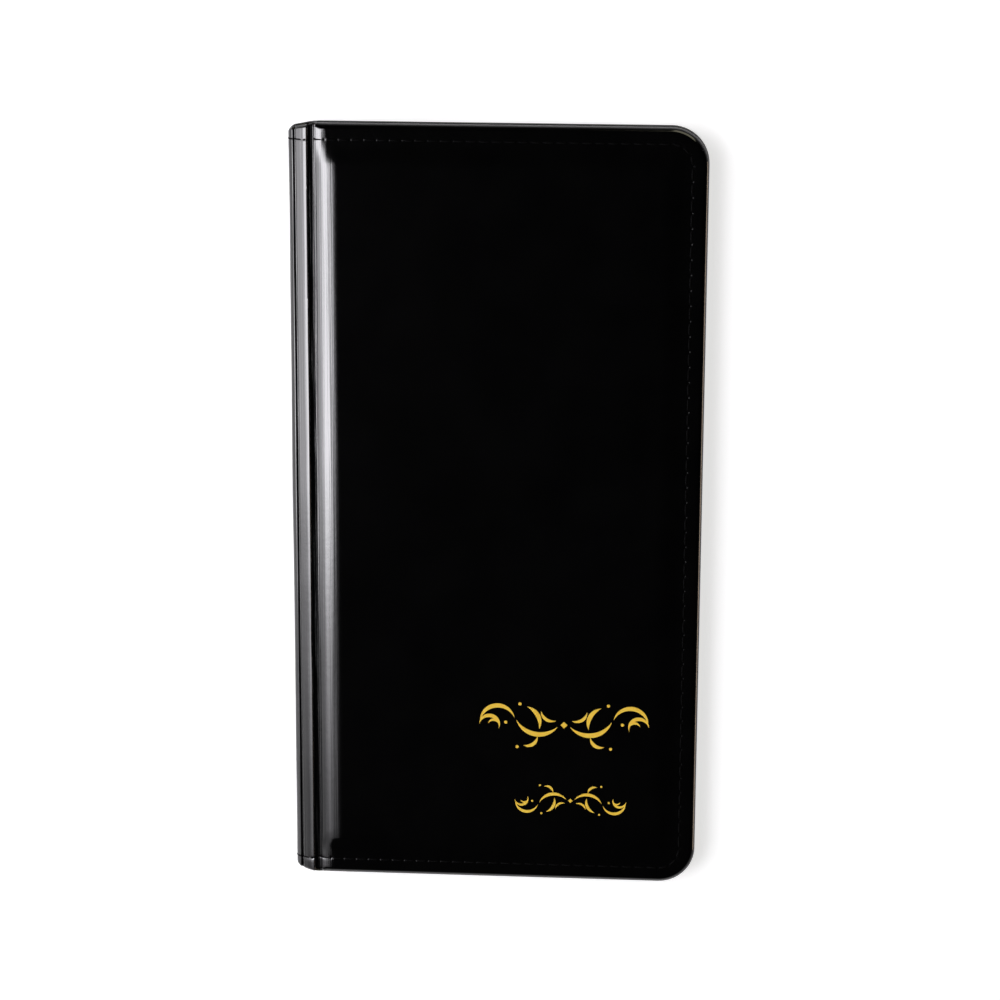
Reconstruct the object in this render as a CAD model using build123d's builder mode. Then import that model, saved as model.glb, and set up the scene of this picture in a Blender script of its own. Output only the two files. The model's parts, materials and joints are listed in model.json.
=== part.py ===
from build123d import *
import math
import os

# Guest check presenter, closed and lying on its back cover.
# Row frame: +X from the spine to the fore-edge, +Y towards the head, +Z out of the front cover.
# Sizes are in millimetres. A "depth" is measured inwards from the outer face of a cover's padded
# crown, so for the back cover, which lies on z = 0, a depth is also a height.

# ---------------------------------------------------------------- driving dimensions
cover_width = 139.7           # 5 1/2 in, spine to fore-edge
cover_height = 263.5          # 10 3/8 in, head to tail
corner_radius = 12.7          # fore-edge corners
glue_line = 0.05              # bond between neighbouring layers

skin_thickness = 0.6          # glossy vinyl with its backing
skin_roll = 1.7               # outer rounding of the turned edge
hem_roll = 1.0                # inner rounding of the turned edge
hem_width = 8.0               # vinyl turned in over the board
crown_height = 1.2            # foam pad thickness
crown_slope = 7.0             # width of the pad's sloping edge
crown_inset = 6.4             # fore-edge, head and tail to the foot of the crown
crown_top_radius = 6.0        # fore-edge corners of the flat of the crown
crown_spine_radius = 2.0      # spine-side corners of the crown
board_thickness = 1.6
board_easing = 0.35           # broken inner edge of the board
board_setback = 0.5           # groove's rise to the board's edge
liner_thickness = 0.3
liner_inset = 1.5             # cover's edge to the liner's edge

pocket_slack = 0.25           # room behind an empty pocket
pocket_thickness = 0.4
pocket_inset = 2.0            # cover's edge to the pocket's edge
pocket_seam = 6.5             # width of the pocket's sewn margin
pocket_mouth = 30.0           # spine to the pocket's open edge
binding_width = 6.0
binding_thickness = 0.2
binding_ease = 0.05           # pocket's open edge to the binding around it

card_pocket_width = 95.0      # along X, for an 85.6 mm card
card_pocket_height = 62.0     # along Y, for a 54 mm card
card_pocket_seam = 4.0
card_pocket_radius = 3.0
card_pocket_rise = 22.0       # tail edge to the card pocket
card_pocket_inset = 7.0       # fore-edge to the card pocket

closing_gap = 0.6             # between the two insides when closed

spine_corner_radius = 3.0     # roll of the vinyl from the spine onto a cover
spine_recess = 1.0            # each end of the spine falls short of the covers
spine_end_radius = 3.0        # rounding of the spine's four end corners in plan
ridge_drop = 0.4              # depth of the ridge's crest
ridge_crest = 1.9             # width of the ridge's crest
ridge_fall = 2.0              # width of the ridge's fall into the groove
groove_depth = 2.2
groove_floor = 0.7
panel_rise = 1.5              # width of the rise from the groove to the panel
miter_gap = 0.1               # cover or spine to their common miter plane
strip_depth = 2.3             # depth of the filler strip's flat side
strip_nose = 0.35             # rounding of the filler strip beside the groove
stiffener_thickness = 0.8
lining_ease = 0.15            # lining to the vinyl's inner side in the groove

stitch_inset = 5.5            # cover's edge to the seam
stitch_gap = 0.9              # between two stitches
stitch_width = 0.8
stitch_height = 0.35
row_pitch = 4.3               # stitches along the head and the tail
column_pitch = 5.2            # stitches along the fore-edge
stitch_row_start = 12.5       # spine to the first stitch of a row
inner_stitch_width = 0.6
inner_stitch_height = 0.25
corner_stitches = 3
card_stitch_inset = 2.0

foil_thickness = 0.1
foil_from_fore_edge = 45.8    # middle of the foil ornament's upper tier
foil_from_tail = 57.2
foil_half_width = 30.5
foil_lower_from_fore_edge = 43.3
foil_lower_from_tail = 29.7
foil_lower_scale = 0.66

# ---------------------------------------------------------------- stations along X
spine_edge = -cover_width / 2
fore_edge = cover_width / 2
half_height = cover_height / 2
crest_start = spine_edge + spine_corner_radius
crest_end = crest_start + ridge_crest
groove_start = crest_end + ridge_fall
groove_end = groove_start + groove_floor
panel_start = groove_end + panel_rise
board_start = panel_start + board_setback
mouth_x = spine_edge + pocket_mouth
spine_half_height = half_height - spine_recess

# ---------------------------------------------------------------- depths of the layers
skin_inner = crown_height + skin_thickness
board_outer = skin_inner + glue_line
board_inner = board_outer + board_thickness
hem_outer = board_inner + glue_line
hem_inner = hem_outer + skin_thickness
liner_outer = hem_inner + glue_line
liner_inner = liner_outer + liner_thickness
pocket_outer = liner_inner + pocket_slack
pocket_inner = pocket_outer + pocket_thickness
card_outer = pocket_inner + pocket_slack
card_inner = card_outer + pocket_thickness
closed_thickness = card_inner + closing_gap + pocket_inner

mid_plane = Plane.XY.offset(closed_thickness / 2)
corner_axis_depth = ridge_drop + spine_corner_radius


# ---------------------------------------------------------------- shared profiles and forms
def panel_plan(inset, start, round_corners=True):
    """Plan of a cover layer from x = start, drawn in by inset at head, tail and fore-edge."""
    end = fore_edge - inset
    with BuildSketch(mode=Mode.PRIVATE) as plan:
        with Locations(((start + end) / 2, 0)):
            Rectangle(end - start, cover_height - 2 * inset)
        if round_corners:
            fillet(plan.vertices().group_by(Axis.X)[-1], corner_radius - inset)
    return plan.sketch


def panel_slab(inset, start, outer, inner, outer_roll, inner_roll):
    """Flat cover layer between two depths, with its turned edges rounded."""
    with BuildPart(mode=Mode.PRIVATE) as slab:
        with BuildSketch(Plane.XY.offset(outer)):
            add(panel_plan(inset, start))
        extrude(amount=inner - outer)
        outer_edges = slab.faces().sort_by(Axis.Z)[0].edges().sort_by(Axis.X)[1:]
        fillet(outer_edges, outer_roll)
        inner_edges = slab.faces().sort_by(Axis.Z)[-1].edges().sort_by(Axis.X)[1:]
        fillet(inner_edges, inner_roll)
    return slab.part


def crown_plan(inset, fore_radius, spine_radius):
    """Plan of the padded crown, drawn in by inset from its foot."""
    start = board_start + inset
    end = fore_edge - crown_inset - inset
    with BuildSketch(mode=Mode.PRIVATE) as plan:
        with Locations(((start + end) / 2, 0)):
            Rectangle(end - start, cover_height - 2 * (crown_inset + inset))
        fillet(plan.vertices().group_by(Axis.X)[-1], fore_radius)
        fillet(plan.vertices().group_by(Axis.X)[0], spine_radius)
    return plan.sketch


def crown_form(drop):
    """Padded crown from its foot on the margin to its flat face, both moved inwards by drop."""
    foot_radius = corner_radius - crown_inset
    with BuildPart(mode=Mode.PRIVATE) as crown:
        with BuildSketch(Plane.XY.offset(crown_height + drop)):
            add(crown_plan(0, foot_radius, crown_spine_radius))
        with BuildSketch(Plane.XY.offset(drop)):
            add(crown_plan(crown_slope, crown_top_radius, crown_spine_radius))
        loft()
    return crown.part


def hinge_profile():
    """Outer line of the vinyl from the spine's face over the ridge and groove to the panel."""
    fall_x = (crest_end + groove_start) / 2
    fall_z = (ridge_drop + groove_depth) / 2
    rise_x = (groove_end + panel_start) / 2
    rise_z = (groove_depth + crown_height) / 2
    with BuildLine(mode=Mode.PRIVATE) as profile:
        CenterArc((crest_start, corner_axis_depth), spine_corner_radius, 180, 90)
        Line((crest_start, ridge_drop), (crest_end, ridge_drop))
        fall = TangentArc((crest_end, ridge_drop), (fall_x, fall_z), tangent=(1, 0))
        TangentArc((fall_x, fall_z), (groove_start, groove_depth), tangent=fall % 1)
        Line((groove_start, groove_depth), (groove_end, groove_depth))
        rise = TangentArc((groove_end, groove_depth), (rise_x, rise_z), tangent=(1, 0))
        TangentArc((rise_x, rise_z), (panel_start, crown_height), tangent=rise % 1)
    return profile.line


def miter_plane(gap):
    """Miter between the back cover and the spine, facing the cover, moved along X by gap."""
    return Plane(origin=(spine_edge + gap, 0, ridge_drop), x_dir=(0, 1, 0), z_dir=(1, 0, -1))


def spine_end_plan():
    """Plan of the spine zone with its end corners rounded, reaching into the panel."""
    with BuildSketch(mode=Mode.PRIVATE) as plan:
        with Locations(((spine_edge + board_start) / 2, 0)):
            Rectangle(board_start - spine_edge, 2 * spine_half_height)
        fillet(plan.vertices().group_by(Axis.X)[0], spine_end_radius)
    return plan.sketch


def stitch(length, width, height):
    """One visible thread along X: flat on the vinyl, standing up towards +Z, its ends sloping in."""
    with BuildPart(mode=Mode.PRIVATE) as thread:
        with BuildSketch(Plane.XZ):
            with BuildLine():
                Polyline(
                    (-length / 2, 0), (length / 2, 0),
                    (length / 2 - height, height), (height - length / 2, height),
                    close=True,
                )
            make_face()
        extrude(amount=width / 2, both=True)
    return thread.part


def even_places(start, end, pitch):
    """Middles of the equal stitches that fill a run, as near the pitch as fits."""
    count = max(1, round((end - start) / pitch))
    step = (end - start) / count
    return [start + (index + 0.5) * step for index in range(count)], step


def seam_places():
    """Places (x, y, turn, length) of the perimeter seam's stitches, head, fore-edge and tail."""
    places = []
    corner_x = fore_edge - corner_radius
    corner_y = half_height - corner_radius
    radius = corner_radius - stitch_inset
    row_x, row_step = even_places(spine_edge + stitch_row_start, corner_x, row_pitch)
    column_y, column_step = even_places(-corner_y, corner_y, column_pitch)
    corner_step = 90 / corner_stitches
    corner_length = math.radians(corner_step) * radius - stitch_gap
    for side in (1, -1):
        for x in row_x:
            places.append((x, side * (half_height - stitch_inset), 0, row_step - stitch_gap))
        for index in range(corner_stitches):
            angle = (index + 0.5) * corner_step
            x = corner_x + radius * math.cos(math.radians(angle))
            y = side * (corner_y + radius * math.sin(math.radians(angle)))
            places.append((x, y, side * (angle + 90), corner_length))
    for y in column_y:
        places.append((fore_edge - stitch_inset, y, 90, column_step - stitch_gap))
    return places


def sewn_thread(places, width, height, level, faces_out):
    """Stitches at their places, each on its level; outer ones stand up towards -Z."""
    tip, sense = (180, -1) if faces_out else (0, 1)
    with BuildPart(mode=Mode.PRIVATE) as thread:
        for length in sorted({round(place[3], 6) for place in places}):
            spots = [
                Location((x, y, level(x)), (tip, 0, sense * turn))
                for x, y, turn, reach in places
                if round(reach, 6) == length
            ]
            with Locations(*spots):
                add(stitch(length, width, height))
    return thread.part


# ---------------------------------------------------------------- back cover: vinyl, pad and board
slab_outside = panel_slab(0, panel_start, crown_height, hem_inner, skin_roll, hem_roll)
slab_inside = panel_slab(
    skin_thickness, panel_start, skin_inner, hem_outer,
    skin_roll - skin_thickness, hem_roll - skin_thickness,
)
crown_outside = crown_form(0)
crown_inside = crown_form(skin_thickness)

with BuildPart() as back_skin:
    with BuildSketch(Plane.XZ):
        with BuildLine():
            offset(hinge_profile(), amount=skin_thickness, side=Side.LEFT)
        make_face()
    extrude(amount=spine_half_height, both=True)
    split(bisect_by=miter_plane(miter_gap), keep=Keep.TOP)
    with BuildSketch():
        add(spine_end_plan())
    extrude(amount=hem_inner, mode=Mode.INTERSECT)
    add(slab_outside)
    add(crown_outside)
    add(slab_inside, mode=Mode.SUBTRACT)
    add(crown_inside, mode=Mode.SUBTRACT)
    with BuildSketch(Plane.XY.offset(hem_outer)):
        add(panel_plan(hem_width, panel_start, round_corners=False))
    extrude(amount=skin_thickness, mode=Mode.SUBTRACT)
back_skin.part.label = "back_skin"

with BuildPart() as back_foam:
    add(crown_form(skin_thickness + glue_line))
back_foam.part.label = "back_foam"

board_inset = skin_thickness + glue_line
with BuildPart() as back_board:
    add(panel_slab(
        board_inset, board_start, board_outer, board_inner,
        skin_roll - board_inset, board_easing,
    ))
back_board.part.label = "back_board"

# Filler that gives the ridge beside the spine its body
strip_top = ridge_drop + skin_thickness + glue_line
strip_arc = spine_corner_radius - skin_thickness - glue_line
with BuildPart() as back_joint_strip:
    with BuildSketch(Plane.XZ):
        with BuildLine():
            corner = CenterArc((crest_start, corner_axis_depth), strip_arc, 225, 45)
            Line((crest_start, strip_top), (crest_end, strip_top))
            CenterArc((crest_end, strip_top + strip_nose), strip_nose, 270, 90)
            Polyline(
                (crest_end + strip_nose, strip_top + strip_nose),
                (crest_end + strip_nose, strip_depth),
                (spine_edge + strip_depth - ridge_drop, strip_depth),
                corner @ 0,
            )
        make_face()
    extrude(amount=spine_half_height - skin_thickness, both=True)
    split(bisect_by=miter_plane(miter_gap), keep=Keep.TOP)
back_joint_strip.part.label = "back_joint_strip"

# ---------------------------------------------------------------- back cover: lining and pockets
lining_groove = groove_depth + skin_thickness + lining_ease
lining_strip = strip_depth + glue_line
with BuildPart() as back_liner:
    with BuildSketch(Plane.XZ):
        with BuildLine():
            lining = Polyline(
                (crest_start, lining_strip),
                (crest_end + strip_nose, lining_strip),
                (groove_start, lining_groove),
                (groove_end, lining_groove),
                (panel_start, liner_outer),
                (board_start, liner_outer),
                mode=Mode.PRIVATE,
            )
            offset(lining, amount=liner_thickness, side=Side.LEFT)
        make_face()
    extrude(amount=spine_half_height - skin_thickness, both=True)
    with BuildSketch(Plane.XY.offset(liner_outer)):
        add(panel_plan(liner_inset, board_start))
    extrude(amount=liner_thickness)
    with BuildSketch(Plane.XY.offset(hem_outer)):
        add(panel_plan(hem_width + glue_line, board_start, round_corners=False))
    extrude(amount=liner_outer - hem_outer)
back_liner.part.label = "back_liner"

with BuildPart() as back_pocket:
    with BuildSketch(Plane.XY.offset(liner_inner)):
        add(panel_plan(pocket_inset, mouth_x))
    extrude(amount=pocket_inner - liner_inner)
    with BuildSketch(Plane.XY.offset(liner_inner)):
        add(panel_plan(pocket_inset + pocket_seam, mouth_x, round_corners=False))
    extrude(amount=pocket_slack, mode=Mode.SUBTRACT)
back_pocket.part.label = "back_pocket"

# Tape folded over the pocket's open edge
slot_half_height = half_height - pocket_inset - pocket_seam
with BuildPart() as back_pocket_binding:
    with BuildSketch(Plane.XZ):
        with BuildLine():
            Polyline(
                (mouth_x + binding_width, pocket_outer),
                (mouth_x - binding_ease, pocket_outer),
                (mouth_x - binding_ease, pocket_inner),
                (mouth_x + binding_width, pocket_inner),
                (mouth_x + binding_width, pocket_inner + binding_thickness),
                (mouth_x - binding_ease - binding_thickness, pocket_inner + binding_thickness),
                (mouth_x - binding_ease - binding_thickness, pocket_outer - binding_thickness),
                (mouth_x + binding_width, pocket_outer - binding_thickness),
                close=True,
            )
        make_face()
    extrude(amount=slot_half_height, both=True)
back_pocket_binding.part.label = "back_pocket_binding"

card_x = fore_edge - card_pocket_inset - card_pocket_width / 2
card_y = -half_height + card_pocket_rise + card_pocket_height / 2
card_mouth_y = card_y + card_pocket_height / 2
card_slot_width = card_pocket_width - 2 * card_pocket_seam
with BuildPart() as card_pocket:
    with BuildSketch(Plane.XY.offset(pocket_inner)) as card_plan:
        with Locations((card_x, card_y)):
            Rectangle(card_pocket_width, card_pocket_height)
        fillet(card_plan.vertices().group_by(Axis.Y)[0], card_pocket_radius)
    extrude(amount=card_inner - pocket_inner)
    with BuildSketch(Plane.XY.offset(pocket_inner)):
        with Locations((card_x, card_y + card_pocket_seam / 2)):
            Rectangle(card_slot_width, card_pocket_height - card_pocket_seam)
    extrude(amount=pocket_slack, mode=Mode.SUBTRACT)
card_pocket.part.label = "card_pocket"

with BuildPart() as card_pocket_binding:
    with BuildSketch(Plane.YZ.offset(card_x)):
        with BuildLine():
            Polyline(
                (card_mouth_y - binding_width, card_outer),
                (card_mouth_y + binding_ease, card_outer),
                (card_mouth_y + binding_ease, card_inner),
                (card_mouth_y - binding_width, card_inner),
                (card_mouth_y - binding_width, card_inner + binding_thickness),
                (card_mouth_y + binding_ease + binding_thickness, card_inner + binding_thickness),
                (card_mouth_y + binding_ease + binding_thickness, card_outer - binding_thickness),
                (card_mouth_y - binding_width, card_outer - binding_thickness),
                close=True,
            )
        make_face()
    extrude(amount=card_slot_width / 2, both=True)
card_pocket_binding.part.label = "card_pocket_binding"

# ---------------------------------------------------------------- back cover: thread
seam = seam_places()


def outer_level(x):
    """Depth of the vinyl's outer face along the seam."""
    return crown_height


def inner_level(x):
    """Depth of the face that the seam's inner side lies on: the pocket, or the lining before it."""
    return pocket_inner if x > mouth_x + binding_width else liner_inner


inner_seam = [place for place in seam if abs(place[0] - mouth_x - binding_width / 2) > binding_width]

with BuildPart() as back_stitching_outer:
    add(sewn_thread(seam, stitch_width, stitch_height, outer_level, faces_out=True))
back_stitching_outer.part.label = "back_stitching_outer"

with BuildPart() as back_stitching_inner:
    add(sewn_thread(
        inner_seam, inner_stitch_width, inner_stitch_height, inner_level, faces_out=False
    ))
back_stitching_inner.part.label = "back_stitching_inner"

card_seam_x = card_pocket_width / 2 - card_stitch_inset
card_seam_y = card_y - card_pocket_height / 2 + card_stitch_inset
card_row, card_step = even_places(-card_seam_x, card_seam_x, row_pitch)
card_column, card_column_step = even_places(
    card_seam_y, card_mouth_y - binding_width - binding_ease, row_pitch
)
card_seam = [(card_x + x, card_seam_y, 0, card_step - stitch_gap) for x in card_row]
for edge_side in (1, -1):
    for y in card_column:
        card_seam.append((card_x + edge_side * card_seam_x, y, 90, card_column_step - stitch_gap))


def card_level(x):
    """Depth of the card pocket's face."""
    return card_inner


with BuildPart() as card_pocket_stitching:
    add(sewn_thread(
        card_seam, inner_stitch_width, inner_stitch_height, card_level, faces_out=False
    ))
card_pocket_stitching.part.label = "card_pocket_stitching"

# ---------------------------------------------------------------- spine
stiffener_outer = spine_edge + skin_thickness + glue_line
lining_outer = stiffener_outer + stiffener_thickness + glue_line
spine_lining_reach = corner_axis_depth - 2 * liner_thickness
far_axis_depth = closed_thickness - corner_axis_depth

with BuildPart() as spine_skin:
    with BuildSketch(Plane.XZ):
        with BuildLine():
            with BuildLine(mode=Mode.PRIVATE) as spine_line:
                CenterArc((crest_start, far_axis_depth), spine_corner_radius, 90, 90)
                Line((spine_edge, far_axis_depth), (spine_edge, corner_axis_depth))
                CenterArc((crest_start, corner_axis_depth), spine_corner_radius, 180, 90)
            offset(spine_line.line, amount=skin_thickness, side=Side.LEFT)
        make_face()
    extrude(amount=spine_half_height, both=True)
    split(bisect_by=miter_plane(-miter_gap), keep=Keep.BOTTOM)
    split(bisect_by=Plane(
        origin=(spine_edge - miter_gap, 0, closed_thickness - ridge_drop),
        x_dir=(0, 1, 0), z_dir=(1, 0, 1),
    ), keep=Keep.BOTTOM)
    with BuildSketch():
        add(spine_end_plan())
    extrude(amount=closed_thickness, mode=Mode.INTERSECT)
spine_skin.part.label = "spine_skin"

with BuildPart() as spine_stiffener:
    with Locations((stiffener_outer + stiffener_thickness / 2, 0, closed_thickness / 2)):
        Box(
            stiffener_thickness,
            2 * (spine_half_height - spine_end_radius),
            far_axis_depth - corner_axis_depth,
        )
spine_stiffener.part.label = "spine_stiffener"

with BuildPart() as spine_liner:
    with Locations((lining_outer + liner_thickness / 2, 0, closed_thickness / 2)):
        Box(
            liner_thickness,
            2 * (spine_half_height - skin_thickness),
            closed_thickness - 2 * spine_lining_reach,
        )
spine_liner.part.label = "spine_liner"

spine_stitch_length = far_axis_depth - corner_axis_depth - stitch_gap
with BuildPart() as spine_stitching:
    for stitch_side in (1, -1):
        stitch_y = stitch_side * (half_height - stitch_inset)
        with Locations(Location((spine_edge, stitch_y, closed_thickness / 2), (0, -90, 0))):
            add(stitch(spine_stitch_length, stitch_width, stitch_height))
        inner_face = lining_outer + liner_thickness
        with Locations(Location((inner_face, stitch_y, closed_thickness / 2), (0, 90, 0))):
            add(stitch(spine_stitch_length, inner_stitch_width, inner_stitch_height))
spine_stitching.part.label = "spine_stitching"

# ---------------------------------------------------------------- front cover, the back's mirror image
with BuildPart() as front_skin:
    mirror(back_skin.part, about=mid_plane)
front_skin.part.label = "front_skin"

with BuildPart() as front_foam:
    mirror(back_foam.part, about=mid_plane)
front_foam.part.label = "front_foam"

with BuildPart() as front_board:
    mirror(back_board.part, about=mid_plane)
front_board.part.label = "front_board"

with BuildPart() as front_joint_strip:
    mirror(back_joint_strip.part, about=mid_plane)
front_joint_strip.part.label = "front_joint_strip"

with BuildPart() as front_liner:
    mirror(back_liner.part, about=mid_plane)
front_liner.part.label = "front_liner"

with BuildPart() as front_pocket:
    mirror(back_pocket.part, about=mid_plane)
front_pocket.part.label = "front_pocket"

with BuildPart() as front_pocket_binding:
    mirror(back_pocket_binding.part, about=mid_plane)
front_pocket_binding.part.label = "front_pocket_binding"

with BuildPart() as front_stitching_outer:
    mirror(back_stitching_outer.part, about=mid_plane)
front_stitching_outer.part.label = "front_stitching_outer"

with BuildPart() as front_stitching_inner:
    mirror(back_stitching_inner.part, about=mid_plane)
front_stitching_inner.part.label = "front_stitching_inner"

# ---------------------------------------------------------------- foil ornament
# Right half of one tier, as strokes (start, end, bulge, width) in shares of the tier's half-width;
# the left half is its mirror image.
flourish_strokes = [
    ((0.07, -0.02), (0.54, 0.05), -0.13, 0.055),
    ((0.56, 0.07), (0.95, 0.02), 0.17, 0.050),
    ((0.96, -0.01), (0.74, -0.06), -0.13, 0.042),
    ((0.73, -0.03), (0.86, 0.00), 0.06, 0.030),
    ((0.28, -0.05), (0.42, 0.21), 0.06, 0.050),
    ((0.30, -0.14), (0.46, -0.25), -0.05, 0.040),
    ((0.09, 0.05), (0.26, 0.16), -0.05, 0.036),
]
flourish_dots = [(0.66, 0.02), (0.50, 0.24), (0.53, -0.27)]
dot_share = 0.018
diamond_share = 0.055


def stroke_face(start, end, bulge, width):
    """Crescent between two points: two arcs whose middles lie width apart."""
    first = Vector(*start)
    last = Vector(*end)
    across = (last - first).normalized().rotate(Axis.Z, 90)
    middle = (first + last) / 2
    with BuildLine(mode=Mode.PRIVATE) as outline:
        ThreePointArc(first, middle + across * (bulge + width / 2), last)
        ThreePointArc(first, middle + across * (bulge - width / 2), last)
    make_face(outline.edges())


def flourish(half_width, turn):
    """One tier of the ornament about its own middle, turned by an angle in degrees."""
    with BuildSketch(mode=Mode.PRIVATE) as tier:
        for start, end, bulge, width in flourish_strokes:
            stroke_face(start, end, bulge, width)
        with Locations(*flourish_dots):
            Circle(dot_share)
        mirror(about=Plane.YZ)
        Rectangle(diamond_share, diamond_share, rotation=45)
    return scale(tier.sketch, by=half_width, mode=Mode.PRIVATE).rotate(Axis.Z, turn)


with BuildPart() as foil_ornament:
    with BuildSketch(Plane.XY.offset(closed_thickness)):
        with Locations((fore_edge - foil_from_fore_edge, -half_height + foil_from_tail)):
            add(flourish(foil_half_width, 0))
        with Locations((fore_edge - foil_lower_from_fore_edge, -half_height + foil_lower_from_tail)):
            add(flourish(foil_half_width * foil_lower_scale, 180))
    extrude(amount=foil_thickness)
foil_ornament.part.label = "foil_ornament"

# ---------------------------------------------------------------- written pieces
os.makedirs("parts", exist_ok=True)
pieces = [
    back_skin, back_foam, back_board, back_joint_strip, back_liner, back_pocket,
    back_pocket_binding, card_pocket, card_pocket_binding, card_pocket_stitching,
    back_stitching_outer, back_stitching_inner,
    spine_skin, spine_stiffener, spine_liner, spine_stitching,
    front_skin, front_foam, front_board, front_joint_strip, front_liner, front_pocket,
    front_pocket_binding, front_stitching_outer, front_stitching_inner, foil_ornament,
]
for piece in pieces:
    export_step(piece.part, f"parts/{piece.part.label}.step")

hinge_offset = spine_corner_radius * (1 - math.pi / 4)
print("hinge axes at x", round(spine_edge + hinge_offset, 4),
      "z", round(ridge_drop + hinge_offset, 4),
      "and", round(closed_thickness - ridge_drop - hinge_offset, 4))
print("closed thickness", round(closed_thickness, 3))
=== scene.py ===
import json
import math
import bpy
import numpy as np
from mathutils import Matrix, Vector


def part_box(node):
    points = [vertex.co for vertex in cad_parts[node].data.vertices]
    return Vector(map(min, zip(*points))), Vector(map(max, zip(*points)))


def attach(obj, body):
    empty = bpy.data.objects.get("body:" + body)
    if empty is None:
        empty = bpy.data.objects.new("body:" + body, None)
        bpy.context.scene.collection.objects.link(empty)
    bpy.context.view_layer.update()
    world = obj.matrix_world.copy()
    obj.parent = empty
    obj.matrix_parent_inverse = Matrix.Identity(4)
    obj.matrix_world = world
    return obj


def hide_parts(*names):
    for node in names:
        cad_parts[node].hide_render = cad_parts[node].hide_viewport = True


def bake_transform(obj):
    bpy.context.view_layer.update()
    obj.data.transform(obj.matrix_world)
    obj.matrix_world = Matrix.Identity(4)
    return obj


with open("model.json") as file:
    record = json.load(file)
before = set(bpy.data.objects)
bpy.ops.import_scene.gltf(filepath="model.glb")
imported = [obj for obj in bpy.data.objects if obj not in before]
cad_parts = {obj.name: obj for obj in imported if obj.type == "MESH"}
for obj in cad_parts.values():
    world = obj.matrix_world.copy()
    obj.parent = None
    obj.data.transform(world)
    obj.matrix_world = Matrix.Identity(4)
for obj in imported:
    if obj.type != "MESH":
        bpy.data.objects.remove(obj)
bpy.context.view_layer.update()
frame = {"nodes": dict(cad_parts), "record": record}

# Lengths are in millimetres. Meshes are written in metres, and bump distances, lamps and the sheets'
# flat sizes are in metres too. A station, s, is a distance from the spine's face towards the fore-edge.
MM = 0.001

# ---- sizes taken from the frame
skin_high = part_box("front_skin")[1]
spine_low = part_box("spine_skin")[0]
fore_edge = skin_high[0] / MM
half_height = skin_high[1] / MM
top = skin_high[2] / MM
spine_edge = spine_low[0] / MM
middle = top / 2

# ---- the covers' own sizes
corner_radius = 12.7
crown_height = 1.2
crown_inset = 6.4
crown_slope = 8.5
crown_side_slope = 7.9  # the same slope beside the spine
crown_side_power = 1.8  # roundness of its top
shoulder_height = 0.55  # the margin falls by this beside the groove
shoulder_width = 3.4
shoulder_power = 1.7
shoulder_end = 18.0  # the mesh has close columns up to this station
shoulder_pitch = 0.4
side_height = 2.9  # margin to the turned edge's inner face
skin_roll = 1.7
hem_roll = 1.0
hem_width = 8.0
hem_middle = 5.0  # inset of the hem's middle ring
hem_start = 2.6
edge_roll_reach = 2.4  # width of the rolled top edge
spine_hem = 0.85  # outer face to the turned-in vinyl across the spine
spine_hem_start = 1.9
spine_roll = 0.75  # the turned edge's roll there, and its width
spine_roll_reach = 1.05
spine_recess = 1.15  # the spine's ends are set back from the covers'
spine_taper = (1.5, 10.5)  # stations between which that fades out
recess_fade = (3.0, 11.0)  # insets between which it fades out
edge_change = (7.5, 11.05)  # stations between which the spine's turned edge becomes the panel's
front_end_radius = (5.0, 1.3)  # rounding of the spine's end corners, across and along
back_end_radius = (2.4, 1.3)
# Depth of the turned edge's outline over the spine, where groove and ridge run out, as (station, depth)
end_outline = ((2.2, 2.6), (3.2, 1.7), (5.0, 1.05), (6.5, 1.0), (9.35, 1.75))
outline_start = (1.2, 2.4)  # stations between which that outline sets in
outline_fade = (1.1, 1.9)  # insets between which it ends
bead_radius = 3.7  # roll along the spine's outer edge, which stops short of its top
bead_turn = 58  # degrees of it that show
bead_drop = 2.25
crease_start = 2.15
crease_end = 2.7
crease_drop = 2.7
crease_dip = 0.04
ridge_foot = 2.8
ridge_crest = 6.5
ridge_drop = 0.4
ridge_rise = 1.55  # ridge's foot to its crest
ridge_power = 1.3
ridge_easing = 0.12
groove_easing = 0.3
groove_depth = 2.4
floor_middle = 8.1  # station of the groove's middle
floor_lift = 0.015
shoulder_easing = 0.13
shoulder_angle = 29  # degrees that the panel's shoulder starts at
panel_start = 9.35
# Insets of the mesh's rings on the margin, close together at the seam
edge_insets = (2.7, 3.1, 3.5, 4.1, 4.6, 5.0, 5.25, 5.5, 5.75, 6.0, 6.4, 7.0, 7.6, 8.3, 9.1, 10.0, 10.9, 11.8)
spine_shift = (0.5, 0.5, 0.5)  # the first of them lie this much further out across the spine

# ---- the vinyl's unevenness
# Streaks along the spine as (radians per mm across, sway, run of the sway along Y, height)
streak_waves = ((5.1, 0.8, 17, 0.006), (2.3, 1.1, 29, 0.012))
streak_fade = (12.0, 17.0)  # stations between which they fade out
# Slow waves as (run in X, run in Y, height), a run being the length of one radian
slow_waves = ((math.inf, 19, 0.022), (43, 31, 0.022), (27, -38, 0.016), (math.inf, 8.3, 0.0096))
wave_start = (6.0, 16.0)  # insets between which they set in on the panel
ripple_place = 40.0  # the spine ripples like this column of the slow waves
ripple_squeeze = 1.7
ripple_fade = (6.5, 7.1)  # stations between which it ends
outside_drop = 0.02  # a ring let down by less than this is on the outside

# ---- the seam
seam_inset = 5.5
row_pitch = 4.3
column_pitch = 5.2
seam_row_start = 12.5
stitch_gap = 0.7
corner_stitches = 3
inner_pitch = 4.3
valley_depth = (0.09, 0.04)  # depth that the seam draws the vinyl down by, at the spine and on the panel
valley_width = (0.45, 0.8)
valley_change = (8.85, 11.35)  # stations between which the one becomes the other
hole_depth = (0.135, 0.095)  # needle hole's depth, elsewhere and along the head
hole_width = 0.42
hole_reach = 2.0  # no hole is felt further than this from the seam
head_row_start = (14, 9)  # distances from the head between which its depth sets in
hole_spacing = (0.35, 0.9)  # mesh lines beside a needle hole

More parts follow.
